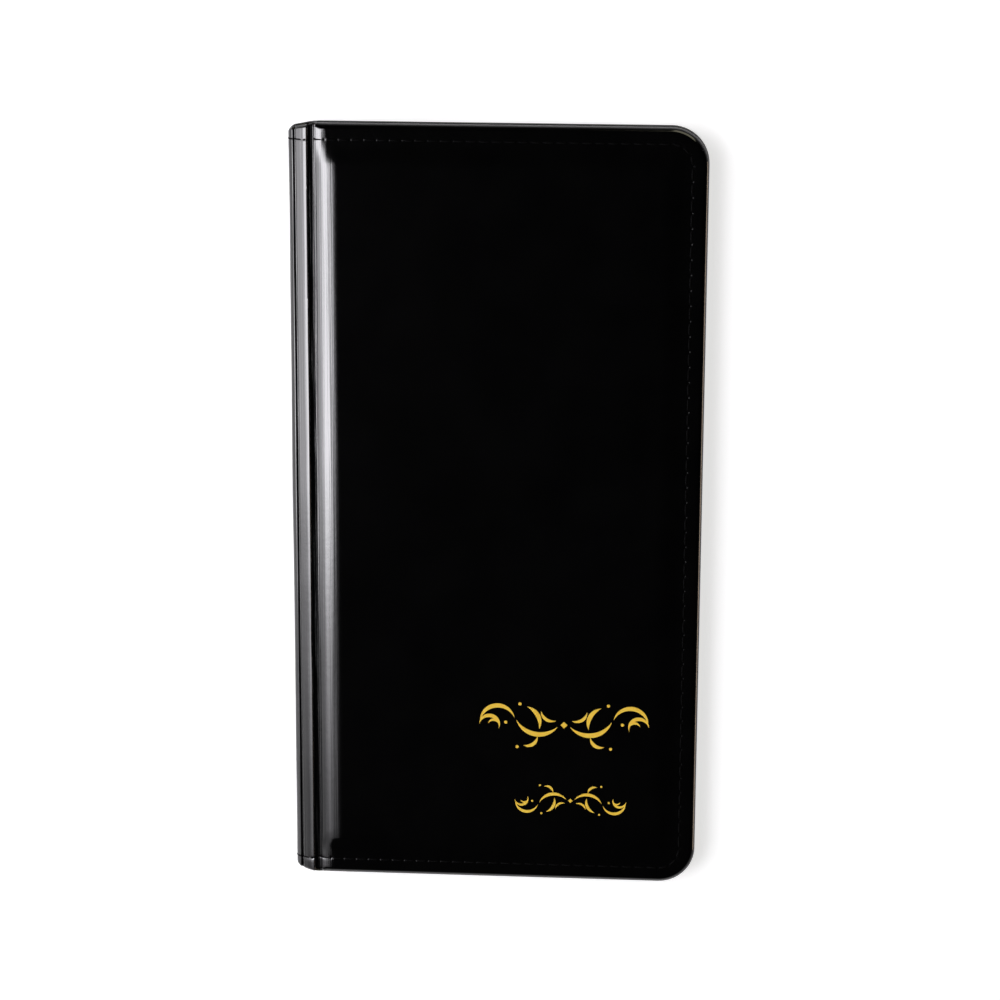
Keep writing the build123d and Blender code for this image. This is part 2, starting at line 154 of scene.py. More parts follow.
# ---- the thread
thread_radius = 0.3
inner_radius = 0.22
plies = 3
ply_twist = 3.2  # radians per mm
ply_offset = 0.48  # ply's middle from the thread's, over the thread's radius
ply_radius = 0.58  # over the thread's radius
ply_sides = 6
stitch_steps = 11
stitch_lean = (0.10, 2.4)  # sideways lean over the radius, and its change from stitch to stitch
stitch_rise = 0.45  # middle of a stitch over its face, over the radius
stitch_dive = 2.2  # fall of its ends, over the radius
spine_stitch_sink = 0.25
spine_stitch_share = 0.92  # stitches that cross the spine are this much shorter
tangent_reach = 0.6

# ---- the lining's sizes
liner_inset = 1.5
liner_depth = 4.45
liner_thickness = 0.3
lining_groove = (6.9, 7.6, 9.9)  # stations of the lining's own groove
lining_groove_depth = 3.3
lining_spine = 1.75  # station of the lining in the spine
lining_roll = 2.2
lining_roll_depth = 5.2
lining_shoulder = (5.0, 3.0)  # station and depth after the roll
lining_step = 0.3
lining_pitch = 4.0
# Rings of the lining as (inset, rise), which dip into the hem's step
lining_rings = [(liner_inset, 0.0), (1.9, -0.02), (2.6, 0.0), (4.0, 0.0), (5.0, 0.05), (5.5, 0.1),
                (6.0, 0.05), (7.0, 0.0), (9.0, 0.0), (11.0, 0.0)]
lining_setback = 0.3  # its outer rings lie this much further in across the spine

# ---- the pockets' sizes
pocket_inset = 2.0  # cover's edge to the pocket's edge
pocket_mouth = 30.0  # spine to the pocket's open edge
pocket_thickness = 0.4
pocket_slack = 0.25  # room behind an empty pocket
slack_start = (0.5, 4.0)  # distances inside the seam between which it sets in
pocket_pull = 0.1  # depth that a seam draws the pocket down by
pocket_pull_width = 0.5
pocket_wave = 0.5  # the pocket's waves over the vinyl's
pocket_wave_start = (1, 9)  # distances inside the seam between which they set in
tape_width = 6.0
tape_thickness = 0.2
tape_ease = 0.01  # pocket to the tape's inner face
tape_floor = 0.02  # what the pocket lies on to the tape
tape_easing = 0.06  # rounding of the tape's edge
tape_easing_width = 0.15
tape_nose = 0.1  # centre of the tape's fold from the mouth
tape_stations = (4.9, 4.6, 4.3, 3.0, 1.5)
tape_back_stations = (2.0, 4.0, tape_width)
tape_stitch_inset = 4.6  # mouth to the line of stitches along the tape
tape_pull = 0.05  # depth that those stitches draw the tape down by
tape_pull_width = 0.35
tape_end_gap = 0.1  # tape's ends short of the pocket's
tape_line_end = 3.0  # seam to the end of the line of stitches
mouth_start = -0.3  # a stitch past this is on the pocket
bare_sink = 0.08  # a stitch on the bare lining lies this much deeper
card_pocket_width = 95.0
card_pocket_height = 62.0
card_pocket_rise = 22.0  # tail edge to the card pocket
card_pocket_inset = 7.0  # fore-edge to the card pocket
card_pocket_radius = 3.0
card_seam_inset = 2.0
card_seam_start = 0.8
# Mesh lines of a pocket by their distance from a sewn edge
pocket_lines = (0, 0.15, 0.5, 1.0, 1.5, 2.0, 2.5, 3.0, 3.5, 4.0, 4.5, 5.2, 6.0, 7.2, 9.0)
pocket_line_reach = 11.0
length_pitch = 3.0
length_gap = 1.5
width_pitch = 4.0
width_gap = 2.0


def smooth(value, low, high):
    """0 below low, 1 above high, smooth between."""
    share = np.clip((value - low) / (high - low), 0, 1)
    return share * share * (3 - 2 * share)


def mix(pair, share):
    """From a pair's first value at a share of 0 to its second at 1."""
    return pair[0] + (pair[1] - pair[0]) * share


def arc_points(centre, radii, start, end, count):
    """Points of an elliptical arc between two angles in degrees, both ends included."""
    angles = np.radians(np.linspace(start, end, count))
    return [(centre[0] + radii[0] * math.cos(a), centre[1] + radii[1] * math.sin(a)) for a in angles]


def round_arc(centre, radius, start, end, count):
    """The same with one radius."""
    return arc_points(centre, (radius, radius), start, end, count)


def s_curve(start, end, count):
    """Points of a smooth step between two levels, without its first point."""
    shares = np.linspace(0, 1, count + 1)[1:]
    steps = 0.5 - 0.5 * np.cos(np.pi * shares)
    return [(mix((start[0], end[0]), t), mix((start[1], end[1]), s)) for t, s in zip(shares, steps)]


def run_lengths(points):
    """Distance of each point from the first, along the line through them."""
    return np.concatenate([[0], np.cumsum(np.linalg.norm(np.diff(points, axis=0), axis=1))])


def rounded_inset(end, side, radius):
    """Distance from the edge of a form with rounded corners, from the places past the corner's centre."""
    both = (end > 0) & (side > 0)
    return radius - np.where(both, np.hypot(end, side), np.maximum(end, side))


# Centre of the head's fore-edge corner
corner_x = fore_edge - corner_radius
corner_y = half_height - corner_radius


def margin_inset(x, y):
    """Distance from the cover's edge: head, tail, fore-edge and the two rounded corners."""
    return rounded_inset(x - corner_x, np.abs(y) - corner_y, corner_radius)


# ---- the perimeter seam
def even_places(start, end, pitch):
    """Middles of the equal stitches that fill a run, and their step."""
    count = max(1, round((end - start) / pitch))
    step = (end - start) / count
    return [start + (index + 0.5) * step for index in range(count)], step


def seam_stitches():
    """Stitches of the perimeter seam as (middle x, middle y, direction in radians, length)."""
    stitches = []
    radius = corner_radius - seam_inset
    row, row_step = even_places(spine_edge + seam_row_start, corner_x, row_pitch)
    column, column_step = even_places(-corner_y, corner_y, column_pitch)
    corner_step = math.pi / 2 / corner_stitches
    for side in (1, -1):
        for x in row:
            stitches.append((x, side * (half_height - seam_inset), 0, row_step))
        for index in range(corner_stitches):
            angle = (index + 0.5) * corner_step
            x = corner_x + radius * math.cos(angle)
            y = side * (corner_y + radius * math.sin(angle))
            stitches.append((x, y, side * (angle + math.pi / 2), corner_step * radius))
    for y in column:
        stitches.append((fore_edge - seam_inset, y, math.pi / 2, column_step))
    return stitches


seam = seam_stitches()
needle_holes = np.array([
    (x + end * math.cos(turn) * step / 2, y + end * math.sin(turn) * step / 2)
    for x, y, turn, step in seam for end in (-1, 1)
])


# ---- the outside's form
def outer_section():
    """Section of the vinyl from the spine's middle over bead, ridge and groove to the panel, as (s, z)."""
    bead_middle = top - bead_drop - bead_radius * math.sin(math.radians(bead_turn))
    crease_z = top - crease_drop
    points = [(0, middle), (0, (middle + bead_middle) / 2)]
    points += round_arc((bead_radius, bead_middle), bead_radius, 180, 180 - bead_turn, count=9)
    points += s_curve(points[-1], (crease_start, crease_z), count=4)
    points += [((crease_start + crease_end) / 2, crease_z - crease_dip), (crease_end, crease_z)]
    for share in np.linspace(0, 1, 14):
        s = mix((ridge_foot, ridge_crest), share)
        points.append((s, top - ridge_drop - ridge_rise * (1 - share) ** ridge_power))
    crest_centre = (ridge_crest, top - ridge_drop - ridge_easing)
    points += round_arc(crest_centre, ridge_easing, 75, 0, count=4)
    floor_z = top - groove_depth
    floor_centre = (ridge_crest + ridge_easing + groove_easing, floor_z + groove_easing)
    points += round_arc(floor_centre, groove_easing, 180, 270, count=6)
    wall_s = panel_start - shoulder_easing * (1 - math.cos(math.radians(90 - shoulder_angle)))
    foot_s = wall_s - shoulder_easing
    points += [(floor_middle, floor_z + floor_lift), (foot_s, floor_z)]
    points += round_arc((foot_s, floor_z + shoulder_easing), shoulder_easing, -60, 0, count=3)
    level = top - crown_height - shoulder_height
    centre_z = level - shoulder_easing * math.cos(math.radians(shoulder_angle))
    wall_centre = (wall_s + shoulder_easing, centre_z)
    return points + round_arc(wall_centre, shoulder_easing, 180, 90 + shoulder_angle, count=5)


def shoulder(s):
    """Depth of the margin's rounded shoulder beside the groove, by the distance from the spine."""
    share = np.clip((s - panel_start) / shoulder_width, 0, 1)
    return shoulder_height * (1 - share) ** shoulder_power * (s > panel_start + 0.001)


def crown(x, y):
    """Rise of the padded crown above the margin."""
    inset = margin_inset(x, y) - crown_inset
    side = np.clip((x - spine_edge - panel_start) / crown_side_slope, 0, 1)
    return crown_height * smooth(inset, 0, crown_slope) * (1 - (1 - side) ** crown_side_power)


def streaks(s, y, seed):
    """Fine lines that the drawn vinyl keeps along the spine, the ridge and the shoulder."""
    turns = np.random.default_rng(seed).uniform(0, 2 * math.pi, 2 * len(streak_waves))
    total = 0
    for (rate, sway, run, height), turn, phase in zip(streak_waves, turns[::2], turns[1::2]):
        total = total + height * np.sin(s * rate + sway * np.sin(y / run + turn) + phase)
    return total * (1 - smooth(s, *streak_fade))


def wave(x, y, seed):
    """Slow unevenness of the padding and of the vinyl drawn over it."""
    turns = np.random.default_rng(seed).uniform(0, 2 * math.pi, len(slow_waves))
    return sum(height * np.sin(x / run_x + y / run_y + turn)
               for (run_x, run_y, height), turn in zip(slow_waves, turns))


def seam_pull(x, y):
    """Depth that the seam and its needle holes draw the vinyl down by."""
    inset = margin_inset(x, y)
    on_panel = smooth(x - spine_edge, *valley_change)
    away = (inset - seam_inset) / mix(valley_width, on_panel)
    valley = mix(valley_depth, on_panel) * np.exp(-away ** 2)
    holes = np.zeros_like(valley)
    near = np.abs(inset - seam_inset) < hole_reach
    if near.any():
        spots = np.stack([x[near], y[near]], axis=1)
        gap = np.linalg.norm(spots[:, None, :] - needle_holes[None, :, :], axis=2).min(axis=1)
        head_row = smooth(y[near], *(half_height - start for start in head_row_start))
        holes[near] = mix(hole_depth, head_row) * np.exp(-(gap / hole_width) ** 2)
    return valley + holes


def edge_profile(hem_depth, hem_inset, inner_roll, inner_depth, reach, outer_roll, insets):
    """Rings of a turned edge as (inset, drop), from the hem's end round the edge to the margin."""
    rings = [(inset, hem_depth) for inset in (hem_width, hem_middle, hem_inset)]
    rings += arc_points((inner_roll, inner_depth), (-inner_roll, inner_roll), 90, 0, count=5)
    rings += arc_points((reach, outer_roll), (-reach, -outer_roll), 0, 90, count=10)
    return rings + [(inset, 0.0) for inset in insets]


panel_edge = edge_profile(side_height, hem_start, hem_roll, side_height - hem_roll,
                          edge_roll_reach, skin_roll, edge_insets)
spine_insets = [inset - shift for inset, shift in zip(edge_insets, spine_shift)]
spine_insets += edge_insets[len(spine_shift):]
spine_edge_rings = edge_profile(spine_hem, spine_hem_start, spine_roll, spine_roll,
                                spine_roll_reach, spine_roll, spine_insets)


# ---- meshes
def write_mesh(name, points, faces, material):
    """Smooth-shaded mesh object from points in metres."""
    mesh = bpy.data.meshes.new(name)
    mesh.from_pydata([tuple(point) for point in points], [], [tuple(face) for face in faces])
    mesh.validate()
    mesh.polygons.foreach_set("use_smooth", [True] * len(mesh.polygons))
    mesh.materials.append(material)
    obj = bpy.data.objects.new(name, mesh)
    bpy.context.scene.collection.objects.link(obj)
    return obj


def grid_faces(columns, rows, flip):
    """Quads of a grid whose point (i, j) has the index i * rows + j."""
    i, j = np.meshgrid(np.arange(columns - 1), np.arange(rows - 1), indexing="ij")
    a = (i * rows + j).ravel()
    quads = np.stack([a, a + rows, a + rows + 1, a + 1], axis=1)
    return quads[:, ::-1] if flip else quads


def even_stations(start, end, pitch):
    """Stations from start to end, as near the pitch as fits."""
    return list(np.linspace(start, end, max(1, round((end - start) / pitch)) + 1))


def hole_stations(start, end, pitch):
    """Stations from start to end that lie close together at each needle hole."""
    middles, step = even_places(start, end, pitch)
    close, far = hole_spacing
    offsets = (0, close, far, step / 2, step - far, step - close)
    return [place - step / 2 + offset for place in middles for offset in offsets] + [end]


def closed_sheet(name, near, far, mirrored, material):
    """Thin closed sheet between two grids of points, joined round their rims.

    near is the face towards the closed presenter's middle. A mirrored sheet belongs to the back cover."""
    columns, rows = near[0].shape
    count = columns * rows
    points = np.concatenate([np.stack(layer, axis=2).reshape(-1, 3) for layer in (near, far)])
    rim = [i * rows for i in range(columns)]
    rim += [(columns - 1) * rows + j for j in range(1, rows)]
    rim += [i * rows + rows - 1 for i in range(columns - 2, -1, -1)]
    rim += list(range(rows - 2, 0, -1))
    faces = [tuple(face) for face in grid_faces(columns, rows, flip=not mirrored)]
    faces += [tuple(face) for face in grid_faces(columns, rows, flip=mirrored) + count]
    for a, b in zip(rim, rim[1:] + rim[:1]):
        faces.append((b, a, a + count, b + count) if mirrored else (a, b, b + count, a + count))
    return write_mesh(name, points * MM, faces, material)


def section_normals(section):
    """Unit normals of a section of (s, z) points, out of the cover."""
    tangent = np.gradient(np.array(section), axis=0)
    tangent /= np.linalg.norm(tangent, axis=1)[:, None]
    return np.stack([-tangent[:, 1], tangent[:, 0]], axis=1)


def end_place(s, inset, end_radius):
    """Distance in Y from the middle to a ring at the head or the tail.

    The spine's ends are rounded at their corners and set back."""
    short = max(0.0, 1 - s / end_radius[0])
    pull = end_radius[1] * (1 - math.sqrt(1 - short ** 2))
    pull += spine_recess * (1 - float(smooth(s, *spine_taper)))
    pull *= 1 - float(smooth(inset, *recess_fade))
    return half_height - inset - pull


def levelled(base, s, ring, outline):
    """Level of the section's point, drawn to the outline where the turned edge crosses the spine."""
    stations, depths = zip(*outline)
    level = top - np.interp(s, stations, depths)
    at_edge = smooth(ring[1], 0, spine_roll) * (1 - smooth(ring[0], *outline_fade))
    return base + (level - base) * float(at_edge * smooth(s, *outline_start))


def corner_place(inset, edge_i, edge_j, rings):
    """Place of a ring point in the head's fore-edge corner, turned round the corner's centre."""
    radius = corner_radius - inset
    if edge_i <= edge_j:
        angle = math.pi / 4 * (rings - edge_j) / (rings - edge_i)
    else:
        angle = math.pi / 2 - math.pi / 4 * (rings - edge_i) / (rings - edge_j)
    return corner_x + radius * math.cos(angle), corner_y + radius * math.sin(angle)


def cover_grid(section, panel_rings, spine_rings, base_z, x_stations, y_stations, end_radius, outline):
    """Points of a cover layer: its section from the spine, then the panel, with turned edges all round.

    Each point is on a section column or a panel column, and on a ring near the edge or a plain row.
    In the fore-edge corners the rings turn round the corner's centre."""
    rings = len(panel_rings)
    s_values = [s for s, z in section]
    near = list(np.arange(s_values[-1] + shoulder_pitch, shoulder_end + 0.01, shoulder_pitch))
    plain_s = s_values + near
    plain_s += [x - spine_edge for x in x_stations if x - spine_edge > near[-1] + shoulder_pitch / 2]
    columns = len(plain_s) + rings
    rows = len(y_stations) + 2 * rings
    normal = section_normals(section)
    x, y, z, drop = (np.zeros((columns, rows)) for _ in range(4))
    lean = np.zeros((columns, rows, 2))
    for i in range(columns):
        edge_i = columns - 1 - i if i >= len(plain_s) else None
        on_section = i < len(section)
        s = plain_s[i] if edge_i is None else plain_s[-1]
        share = float(smooth(s, *edge_change))
        for j in range(rows):
            from_end = min(j, rows - 1 - j)
            edge_j = from_end if from_end < rings else None
            side = -1 if j < rings else 1
            base = section[i][1] if on_section else base_z
            lean[i, j] = normal[i] if on_section else (0, 1)
            if edge_i is None and edge_j is None:
                x[i, j], y[i, j] = spine_edge + s, y_stations[j - rings]
            elif edge_i is None:
                ring = [mix(pair, share) for pair in zip(spine_rings[edge_j], panel_rings[edge_j])]
                x[i, j], y[i, j] = spine_edge + s, side * end_place(s, ring[0], end_radius)
                drop[i, j] = ring[1]
                if outline and on_section:
                    base = levelled(base, s, ring, outline)
            elif edge_j is None:
                ring = panel_rings[edge_i]
                x[i, j], y[i, j] = fore_edge - ring[0], y_stations[j - rings]
                drop[i, j] = ring[1]
            else:
                ring = panel_rings[min(edge_i, edge_j)]
                x[i, j], along = corner_place(ring[0], edge_i, edge_j, rings)
                y[i, j] = side * along
                drop[i, j] = ring[1]
            z[i, j] = base
    return x, y, z, drop, lean


def folded_down(x, z, drop):
    """Points let down by drop: towards the middle from the spine's face, straight down elsewhere."""
    turn = smooth(x - spine_edge, 0.0, crease_start)
    length = np.hypot(1 - turn, turn)
    return x + drop * (1 - turn) / length, z - drop * turn / length


def cover_vinyl(name, mirrored, seed, end_radius, material):
    """Outer vinyl of one cover, from the middle of the spine's face to the hem inside the fore-edge."""
    x, y, z, drop, lean = cover_grid(
        outer_section(), panel_edge, spine_edge_rings, top - crown_height,
        hole_stations(spine_edge + seam_row_start, corner_x, row_pitch),
        hole_stations(-corner_y, corner_y, column_pitch), end_radius, end_outline,
    )
    s = x - spine_edge
    rise = crown(x, y) + wave(x, y, seed) * smooth(margin_inset(x, y), *wave_start)
    rise -= seam_pull(x, y)
    ripple = wave(np.full_like(x, ripple_place), y * ripple_squeeze, seed + 1)
    rise += ripple * (1 - smooth(s, *ripple_fade)) + streaks(s, y, seed + 2)
    rise *= drop < outside_drop
    x, z = folded_down(x, z, drop + shoulder(s) * (1 - drop / side_height))
    x = x + rise * lean[:, :, 0]
    z = z + rise * lean[:, :, 1]
    if mirrored:
        z = top - z
    points = np.stack([x, y, z], axis=2).reshape(-1, 3) * MM
    return write_mesh(name, points, grid_faces(*x.shape, flip=mirrored), material)


def surface_level(x, y):
    """Height of the front cover's vinyl at one place on the panel."""
    spot_x, spot_y = np.array([float(x)]), np.array([float(y)])
    rise = crown(spot_x, spot_y) - seam_pull(spot_x, spot_y) - shoulder(spot_x - spine_edge)
    return float((top - crown_height + rise)[0])


# ---- lining
def lining_section():
    """Section of the lining from the spine's middle round the fold to the panel's inside, as (s, z)."""
    groove_z = top - lining_groove_depth
    points = [(lining_spine, middle), (lining_spine, middle + lining_step)]
    points += round_arc((lining_spine + lining_roll, top - lining_roll_depth), lining_roll, 180, 90, count=8)
    points += [(lining_shoulder[0], top - lining_shoulder[1])]
    points += s_curve(points[-1], (lining_groove[0], groove_z), count=4)
    points += [(lining_groove[1], groove_z)]
    return points + s_curve(points[-1], (lining_groove[2], top - liner_depth), count=6)


def cover_lining(name, mirrored, material):
    """Lining of one cover and half the spine, a thin sheet with its edges laid on the hem."""
    outer, inner = lining_rings[:5], lining_rings[5:]
    spine_rings = [(inset + lining_setback, rise) for inset, rise in outer] + inner
    x, y, z, rise, lean = cover_grid(
        lining_section(), lining_rings, spine_rings, top - liner_depth,
        even_stations(spine_edge + shoulder_end, corner_x, lining_pitch),
        even_stations(-corner_y, corner_y, lining_pitch), (1.0, 0.0), None,
    )
    layers = []
    for thickness in (0, liner_thickness):
        a = x + (rise + thickness) * lean[:, :, 0]
        b = z + (rise + thickness) * lean[:, :, 1]
        layers.append((a, y, top - b if mirrored else b))
    return closed_sheet(name, *layers, mirrored, material)


# ---- pockets
def pocket_place(pocket, u, v):
    """Place in X and Y that is u from the pocket's mouth towards its closed end, and v across."""
    (x, y), (along_x, along_y) = pocket["mouth"], pocket["along"]
    return x + along_x * u - along_y * v, y + along_y * u + along_x * v


def sewn_inset(pocket, u, v):
    """Distance from the pocket's three sewn edges and the rounded corners between them."""
    radius = pocket["radius"]
    end = u - (pocket["length"] - radius)
    side = np.abs(v) - (pocket["half_width"] - radius)
    return rounded_inset(end, side, radius)


def pocket_depth(pocket, u, v):
    """Depth of the pocket's inner face: drawn down along its seam, slack inside it."""
    x, y = pocket_place(pocket, u, v)
    inside = sewn_inset(pocket, u, v) - pocket["seam"]
    depth = pocket["base"](x, y) + pocket_thickness
    depth = depth + pocket_slack * smooth(inside, *slack_start)
    depth = depth - pocket_pull * np.exp(-(inside / pocket_pull_width) ** 2)
    return depth + pocket_wave * wave(x, y, pocket["seed"]) * smooth(inside, *pocket_wave_start)


def lining_level(x, y):
    """Depth of the lining's inner face, on which a cover's pocket lies."""
    return liner_depth


def cover_pocket_level(x, y):
    """Depth of the cover pocket's inner face, on which the card pocket lies."""
    return pocket_depth(cover_pocket, x - cover_pocket["mouth"][0], y)


cover_pocket = {
    "mouth": (spine_edge + pocket_mouth, 0), "along": (1, 0),
    "length": fore_edge - pocket_inset - spine_edge - pocket_mouth,
    "half_width": half_height - pocket_inset, "radius": corner_radius - pocket_inset,
    "seam": seam_inset - pocket_inset, "seed": 31, "base": lining_level,
}
card_pocket = {
    "mouth": (fore_edge - card_pocket_inset - card_pocket_width / 2,
              card_pocket_rise + card_pocket_height - half_height),
    "along": (0, -1), "length": card_pocket_height,
    "half_width": card_pocket_width / 2, "radius": card_pocket_radius,
    "seam": card_seam_inset, "seed": 47, "base": cover_pocket_level,
}


def near_edge(radius):
    """Distances from a sewn edge that follow its rounding and its seam, from the inside outwards."""
    rounding = [radius * (1 - math.sin(angle)) for angle in np.linspace(0.2, math.pi / 2 - 0.1, 8)]
    insets = {round(inset, 2) for inset in (*pocket_lines, *rounding) if inset < pocket_line_reach}
    return sorted(insets, reverse=True)


def pocket_grid(pocket):
    """Stations (u, v) of the pocket's mesh, on rows that shorten in the rounded corners."""
    length, half_width, radius = pocket["length"], pocket["half_width"], pocket["radius"]
    insets = near_edge(radius)
    u = even_stations(0, length - insets[0] - length_gap, length_pitch)
    u += [length - inset for inset in insets]
    side = [half_width - inset for inset in insets]
    v = [-a for a in reversed(side)]
    v += even_stations(width_gap - side[0], side[0] - width_gap, width_pitch) + side
    u, v = np.meshgrid(np.array(u), np.array(v), indexing="ij")
    past = np.clip(u - (length - radius), 0, radius)
    limit = half_width - radius + np.sqrt(radius ** 2 - past ** 2)
    return u, v * limit / half_width


def pocket_panel(name, pocket, mirrored, material):
    """The pocket's vinyl: a thin sheet, sewn down on three sides."""
    u, v = pocket_grid(pocket)
    x, y = pocket_place(pocket, u, v)
    depth = pocket_depth(pocket, u, v)
    layers = []
    for thickness in (0, pocket_thickness):
        level = depth - thickness
        layers.append((x, y, level if mirrored else top - level))
    return closed_sheet(name, *layers, mirrored, material)


def tape_face(level, easing):
    """One face of the tape folded over the mouth, as (u, height over the pocket's inner face)."""
    nose = pocket_thickness / 2 + level
    path = [(tape_width, level - easing), (tape_width - tape_easing_width, level)]
    path += [(u, level) for u in tape_stations]
    path += round_arc((tape_nose, -pocket_thickness / 2), nose, 90, 270, count=9)
    return path + [(u, level - 2 * nose) for u in tape_back_stations]


def pocket_tape(name, pocket, mirrored, material):
    """Tape round the pocket's mouth, drawn down a little by its line of stitches."""
    v = np.array(sorted(set(np.round(pocket_grid(pocket)[1][0], 4))))
    v = v[np.abs(v) < pocket["half_width"] - tape_end_gap]
    layers = []
    for face in (tape_face(tape_thickness, tape_easing), tape_face(tape_ease, 0)):
        u, rise = np.array(face).T
        pull = tape_pull * np.exp(-((u - tape_stitch_inset) / tape_pull_width) ** 2)
        rise = rise - pull * (rise > tape_thickness / 2)
        u, across = np.meshgrid(u, v, indexing="ij")
        x, y = pocket_place(pocket, u, across)
        depth = pocket_depth(pocket, np.maximum(u, 0), across) + rise[:, None]
        depth = np.maximum(depth, pocket["base"](x, y) + tape_floor)
        layers.append((x, y, depth if mirrored else top - depth))
    return closed_sheet(name, *layers, mirrored, material)


# ---- runs of stitches
def flat_run(x, y, z, up, turn, length):
    """One stitch on a face that looks up or down Z, as (middle, direction, normal, length)."""
    return ((x, y, z), (math.cos(turn), math.sin(turn), 0), (0, 0, up), length)


def inner_run(x, y, depth, turn, step, mirrored):
    """One stitch on an inside face, at a depth from the cover's outer face."""
    z, up = (depth, 1) if mirrored else (top - depth, -1)
    return flat_run(x, y, z, up, turn, step - stitch_gap)


def depth_at(pocket, u, v):
    """Depth of a pocket's inner face at one place."""
    return float(pocket_depth(pocket, np.array(u), np.array(v)))


def tape_run(pocket, v, step, mirrored):
    """One stitch of the line along a pocket's tape."""
    x, y = pocket_place(pocket, tape_stitch_inset, v)
    depth = depth_at(pocket, tape_stitch_inset, v) + tape_thickness - tape_pull
    turn = math.atan2(pocket["along"][0], -pocket["along"][1])
    return inner_run(x, y, depth, turn, step, mirrored)


def tape_line(pocket, reach, mirrored):
    """The line of stitches along a pocket's tape."""
    places, step = even_places(-reach, reach, inner_pitch)
    return [tape_run(pocket, v, step, mirrored) for v in places]


def cover_inner_runs(mirrored):
    """Perimeter seam on the inside, over pocket and tape, and the line of stitches along the tape."""
    runs = []
    for x, y, turn, step in seam:
        u = x - cover_pocket["mouth"][0]
        depth = liner_depth - bare_sink
        if u > mouth_start:
            depth = depth_at(cover_pocket, u, y)
            depth += tape_thickness if u < tape_width else 0
        runs.append(inner_run(x, y, depth, turn, step, mirrored))
    return runs + tape_line(cover_pocket, half_height - seam_inset - tape_line_end, mirrored)


def card_runs():
    """Stitches round the card pocket's three sides and along its tape."""
    runs = []
    side = card_pocket["half_width"] - card_seam_inset
    end = card_pocket["length"] - card_seam_inset
    corners = ((card_seam_start, -side), (end, -side), (end, side), (card_seam_start, side))
    for start, stop in zip(corners, corners[1:]):
        length = math.dist(start, stop)
        places, step = even_places(0, length, inner_pitch)
        ahead = pocket_place(card_pocket, *stop)
        for place in places:
            u, v = (mix(pair, place / length) for pair in zip(start, stop))
            x, y = pocket_place(card_pocket, u, v)
            turn = math.atan2(ahead[1] - y, ahead[0] - x)
            depth = depth_at(card_pocket, u, v) + (tape_thickness if u < tape_width else 0)
            runs.append(inner_run(x, y, depth, turn, step, True))
    return runs + tape_line(card_pocket, side - tape_line_end, True)


def outer_runs(mirrored):
    """Stitches of the perimeter seam on the outside of a cover."""
    runs = []
    for x, y, turn, step in seam:
        level = surface_level(x, y)
        z, up = (top - level, -1) if mirrored else (level, 1)
        runs.append(flat_run(x, y, z, up, turn, step - stitch_gap))
    return runs


def spine_runs(mirrored):
    """Stitches of the head and tail rows across half the spine, the ridge and the groove."""
    level = top - crown_height
    ramp = [(s, level - float(shoulder(s))) for s in np.linspace(panel_start + 0.3, seam_row_start, 8)]
    section = np.array(outer_section() + ramp)
    length = run_lengths(section)
    places, step = even_places(0, length[-1], row_pitch)

    def section_point(place):
        """Point (s, z) of the section at a distance along it."""
        return np.array([np.interp(place, length, section[:, n]) for n in (0, 1)])

    runs = []
    for side in (1, -1):
        for place in places:
            s, z = section_point(place)
            ahead = section_point(place + tangent_reach) - section_point(place - tangent_reach)
            tangent = np.array([ahead[0], 0, ahead[1]])
            tangent /= np.linalg.norm(tangent)
            normal = np.array([-tangent[2], 0, tangent[0]])
            centre = np.array([spine_edge + s, side * (half_height - seam_inset), z])
            centre -= normal * spine_stitch_sink
            if mirrored:
                centre[2] = top - centre[2]
                tangent[2], normal[2] = -tangent[2], -normal[2]
            runs.append((centre, tangent, normal, (step - stitch_gap) * spine_stitch_share))
    return runs


# ---- thread
def strand(path, normals, radius):
    """Twisted thread along a path: each ply is a small closed tube winding round it."""
    path, normals = np.array(path), np.array(normals)
    tangents = np.gradient(path, axis=0)
    tangents /= np.linalg.norm(tangents, axis=1)[:, None]
    sides = np.cross(tangents, normals)
    sides /= np.linalg.norm(sides, axis=1)[:, None]
    ups = np.cross(sides, tangents)
    length = run_lengths(path)
    away = radius * ply_offset
    points, faces = [], []
    for ply in range(plies):
        phase = 2 * math.pi * ply / plies + ply_twist * length
        centre = path + (away * np.cos(phase))[:, None] * sides + (away * np.sin(phase))[:, None] * ups
        first = len(points)
        for k in range(len(path)):
            for m in range(ply_sides):
                angle = 2 * math.pi * m / ply_sides
                offset = math.cos(angle) * sides[k] + math.sin(angle) * ups[k]
                points.append(centre[k] + radius * ply_radius * offset)
        for k in range(len(path) - 1):
            for m in range(ply_sides):
                a = first + k * ply_sides + m
                b = first + k * ply_sides + (m + 1) % ply_sides
                faces.append((a, b, b + ply_sides, a + ply_sides))
        last = first + (len(path) - 1) * ply_sides
        faces.append(tuple(first + m for m in range(ply_sides))[::-1])
        faces.append(tuple(last + m for m in range(ply_sides)))
    return points, faces


def sewn(name, runs, radius, material):
    """One mesh of stitches. A run is (middle, direction, normal, length) in millimetres."""
    points, faces = [], []
    for number, (centre, direction, normal, length) in enumerate(runs):
        centre, direction, normal = np.array(centre), np.array(direction), np.array(normal)
        side = np.cross(direction, normal)
        lean = stitch_lean[0] * radius * math.sin(number * stitch_lean[1])
        path = []
        for share in np.linspace(-1, 1, stitch_steps):
            rise = radius * stitch_rise - (radius * stitch_dive) * abs(share) ** 3
            path.append(centre + direction * share * length / 2 + normal * rise + side * lean * share)
        more_points, more_faces = strand(path, [normal] * stitch_steps, radius)
        first = len(points)
        points += more_points
        faces += [tuple(first + index for index in face) for face in more_faces]
    return write_mesh(name, np.array(points) * MM, faces, material)


# ---- materials
def set_inputs(node, values):
    """Set inputs of a node, each to a value or to another node's output."""
    for name, value in values.items():
        if isinstance(value, bpy.types.NodeSocket):
            node.id_data.links.new(value, node.inputs[name])
        else:
            node.inputs[name].default_value = value


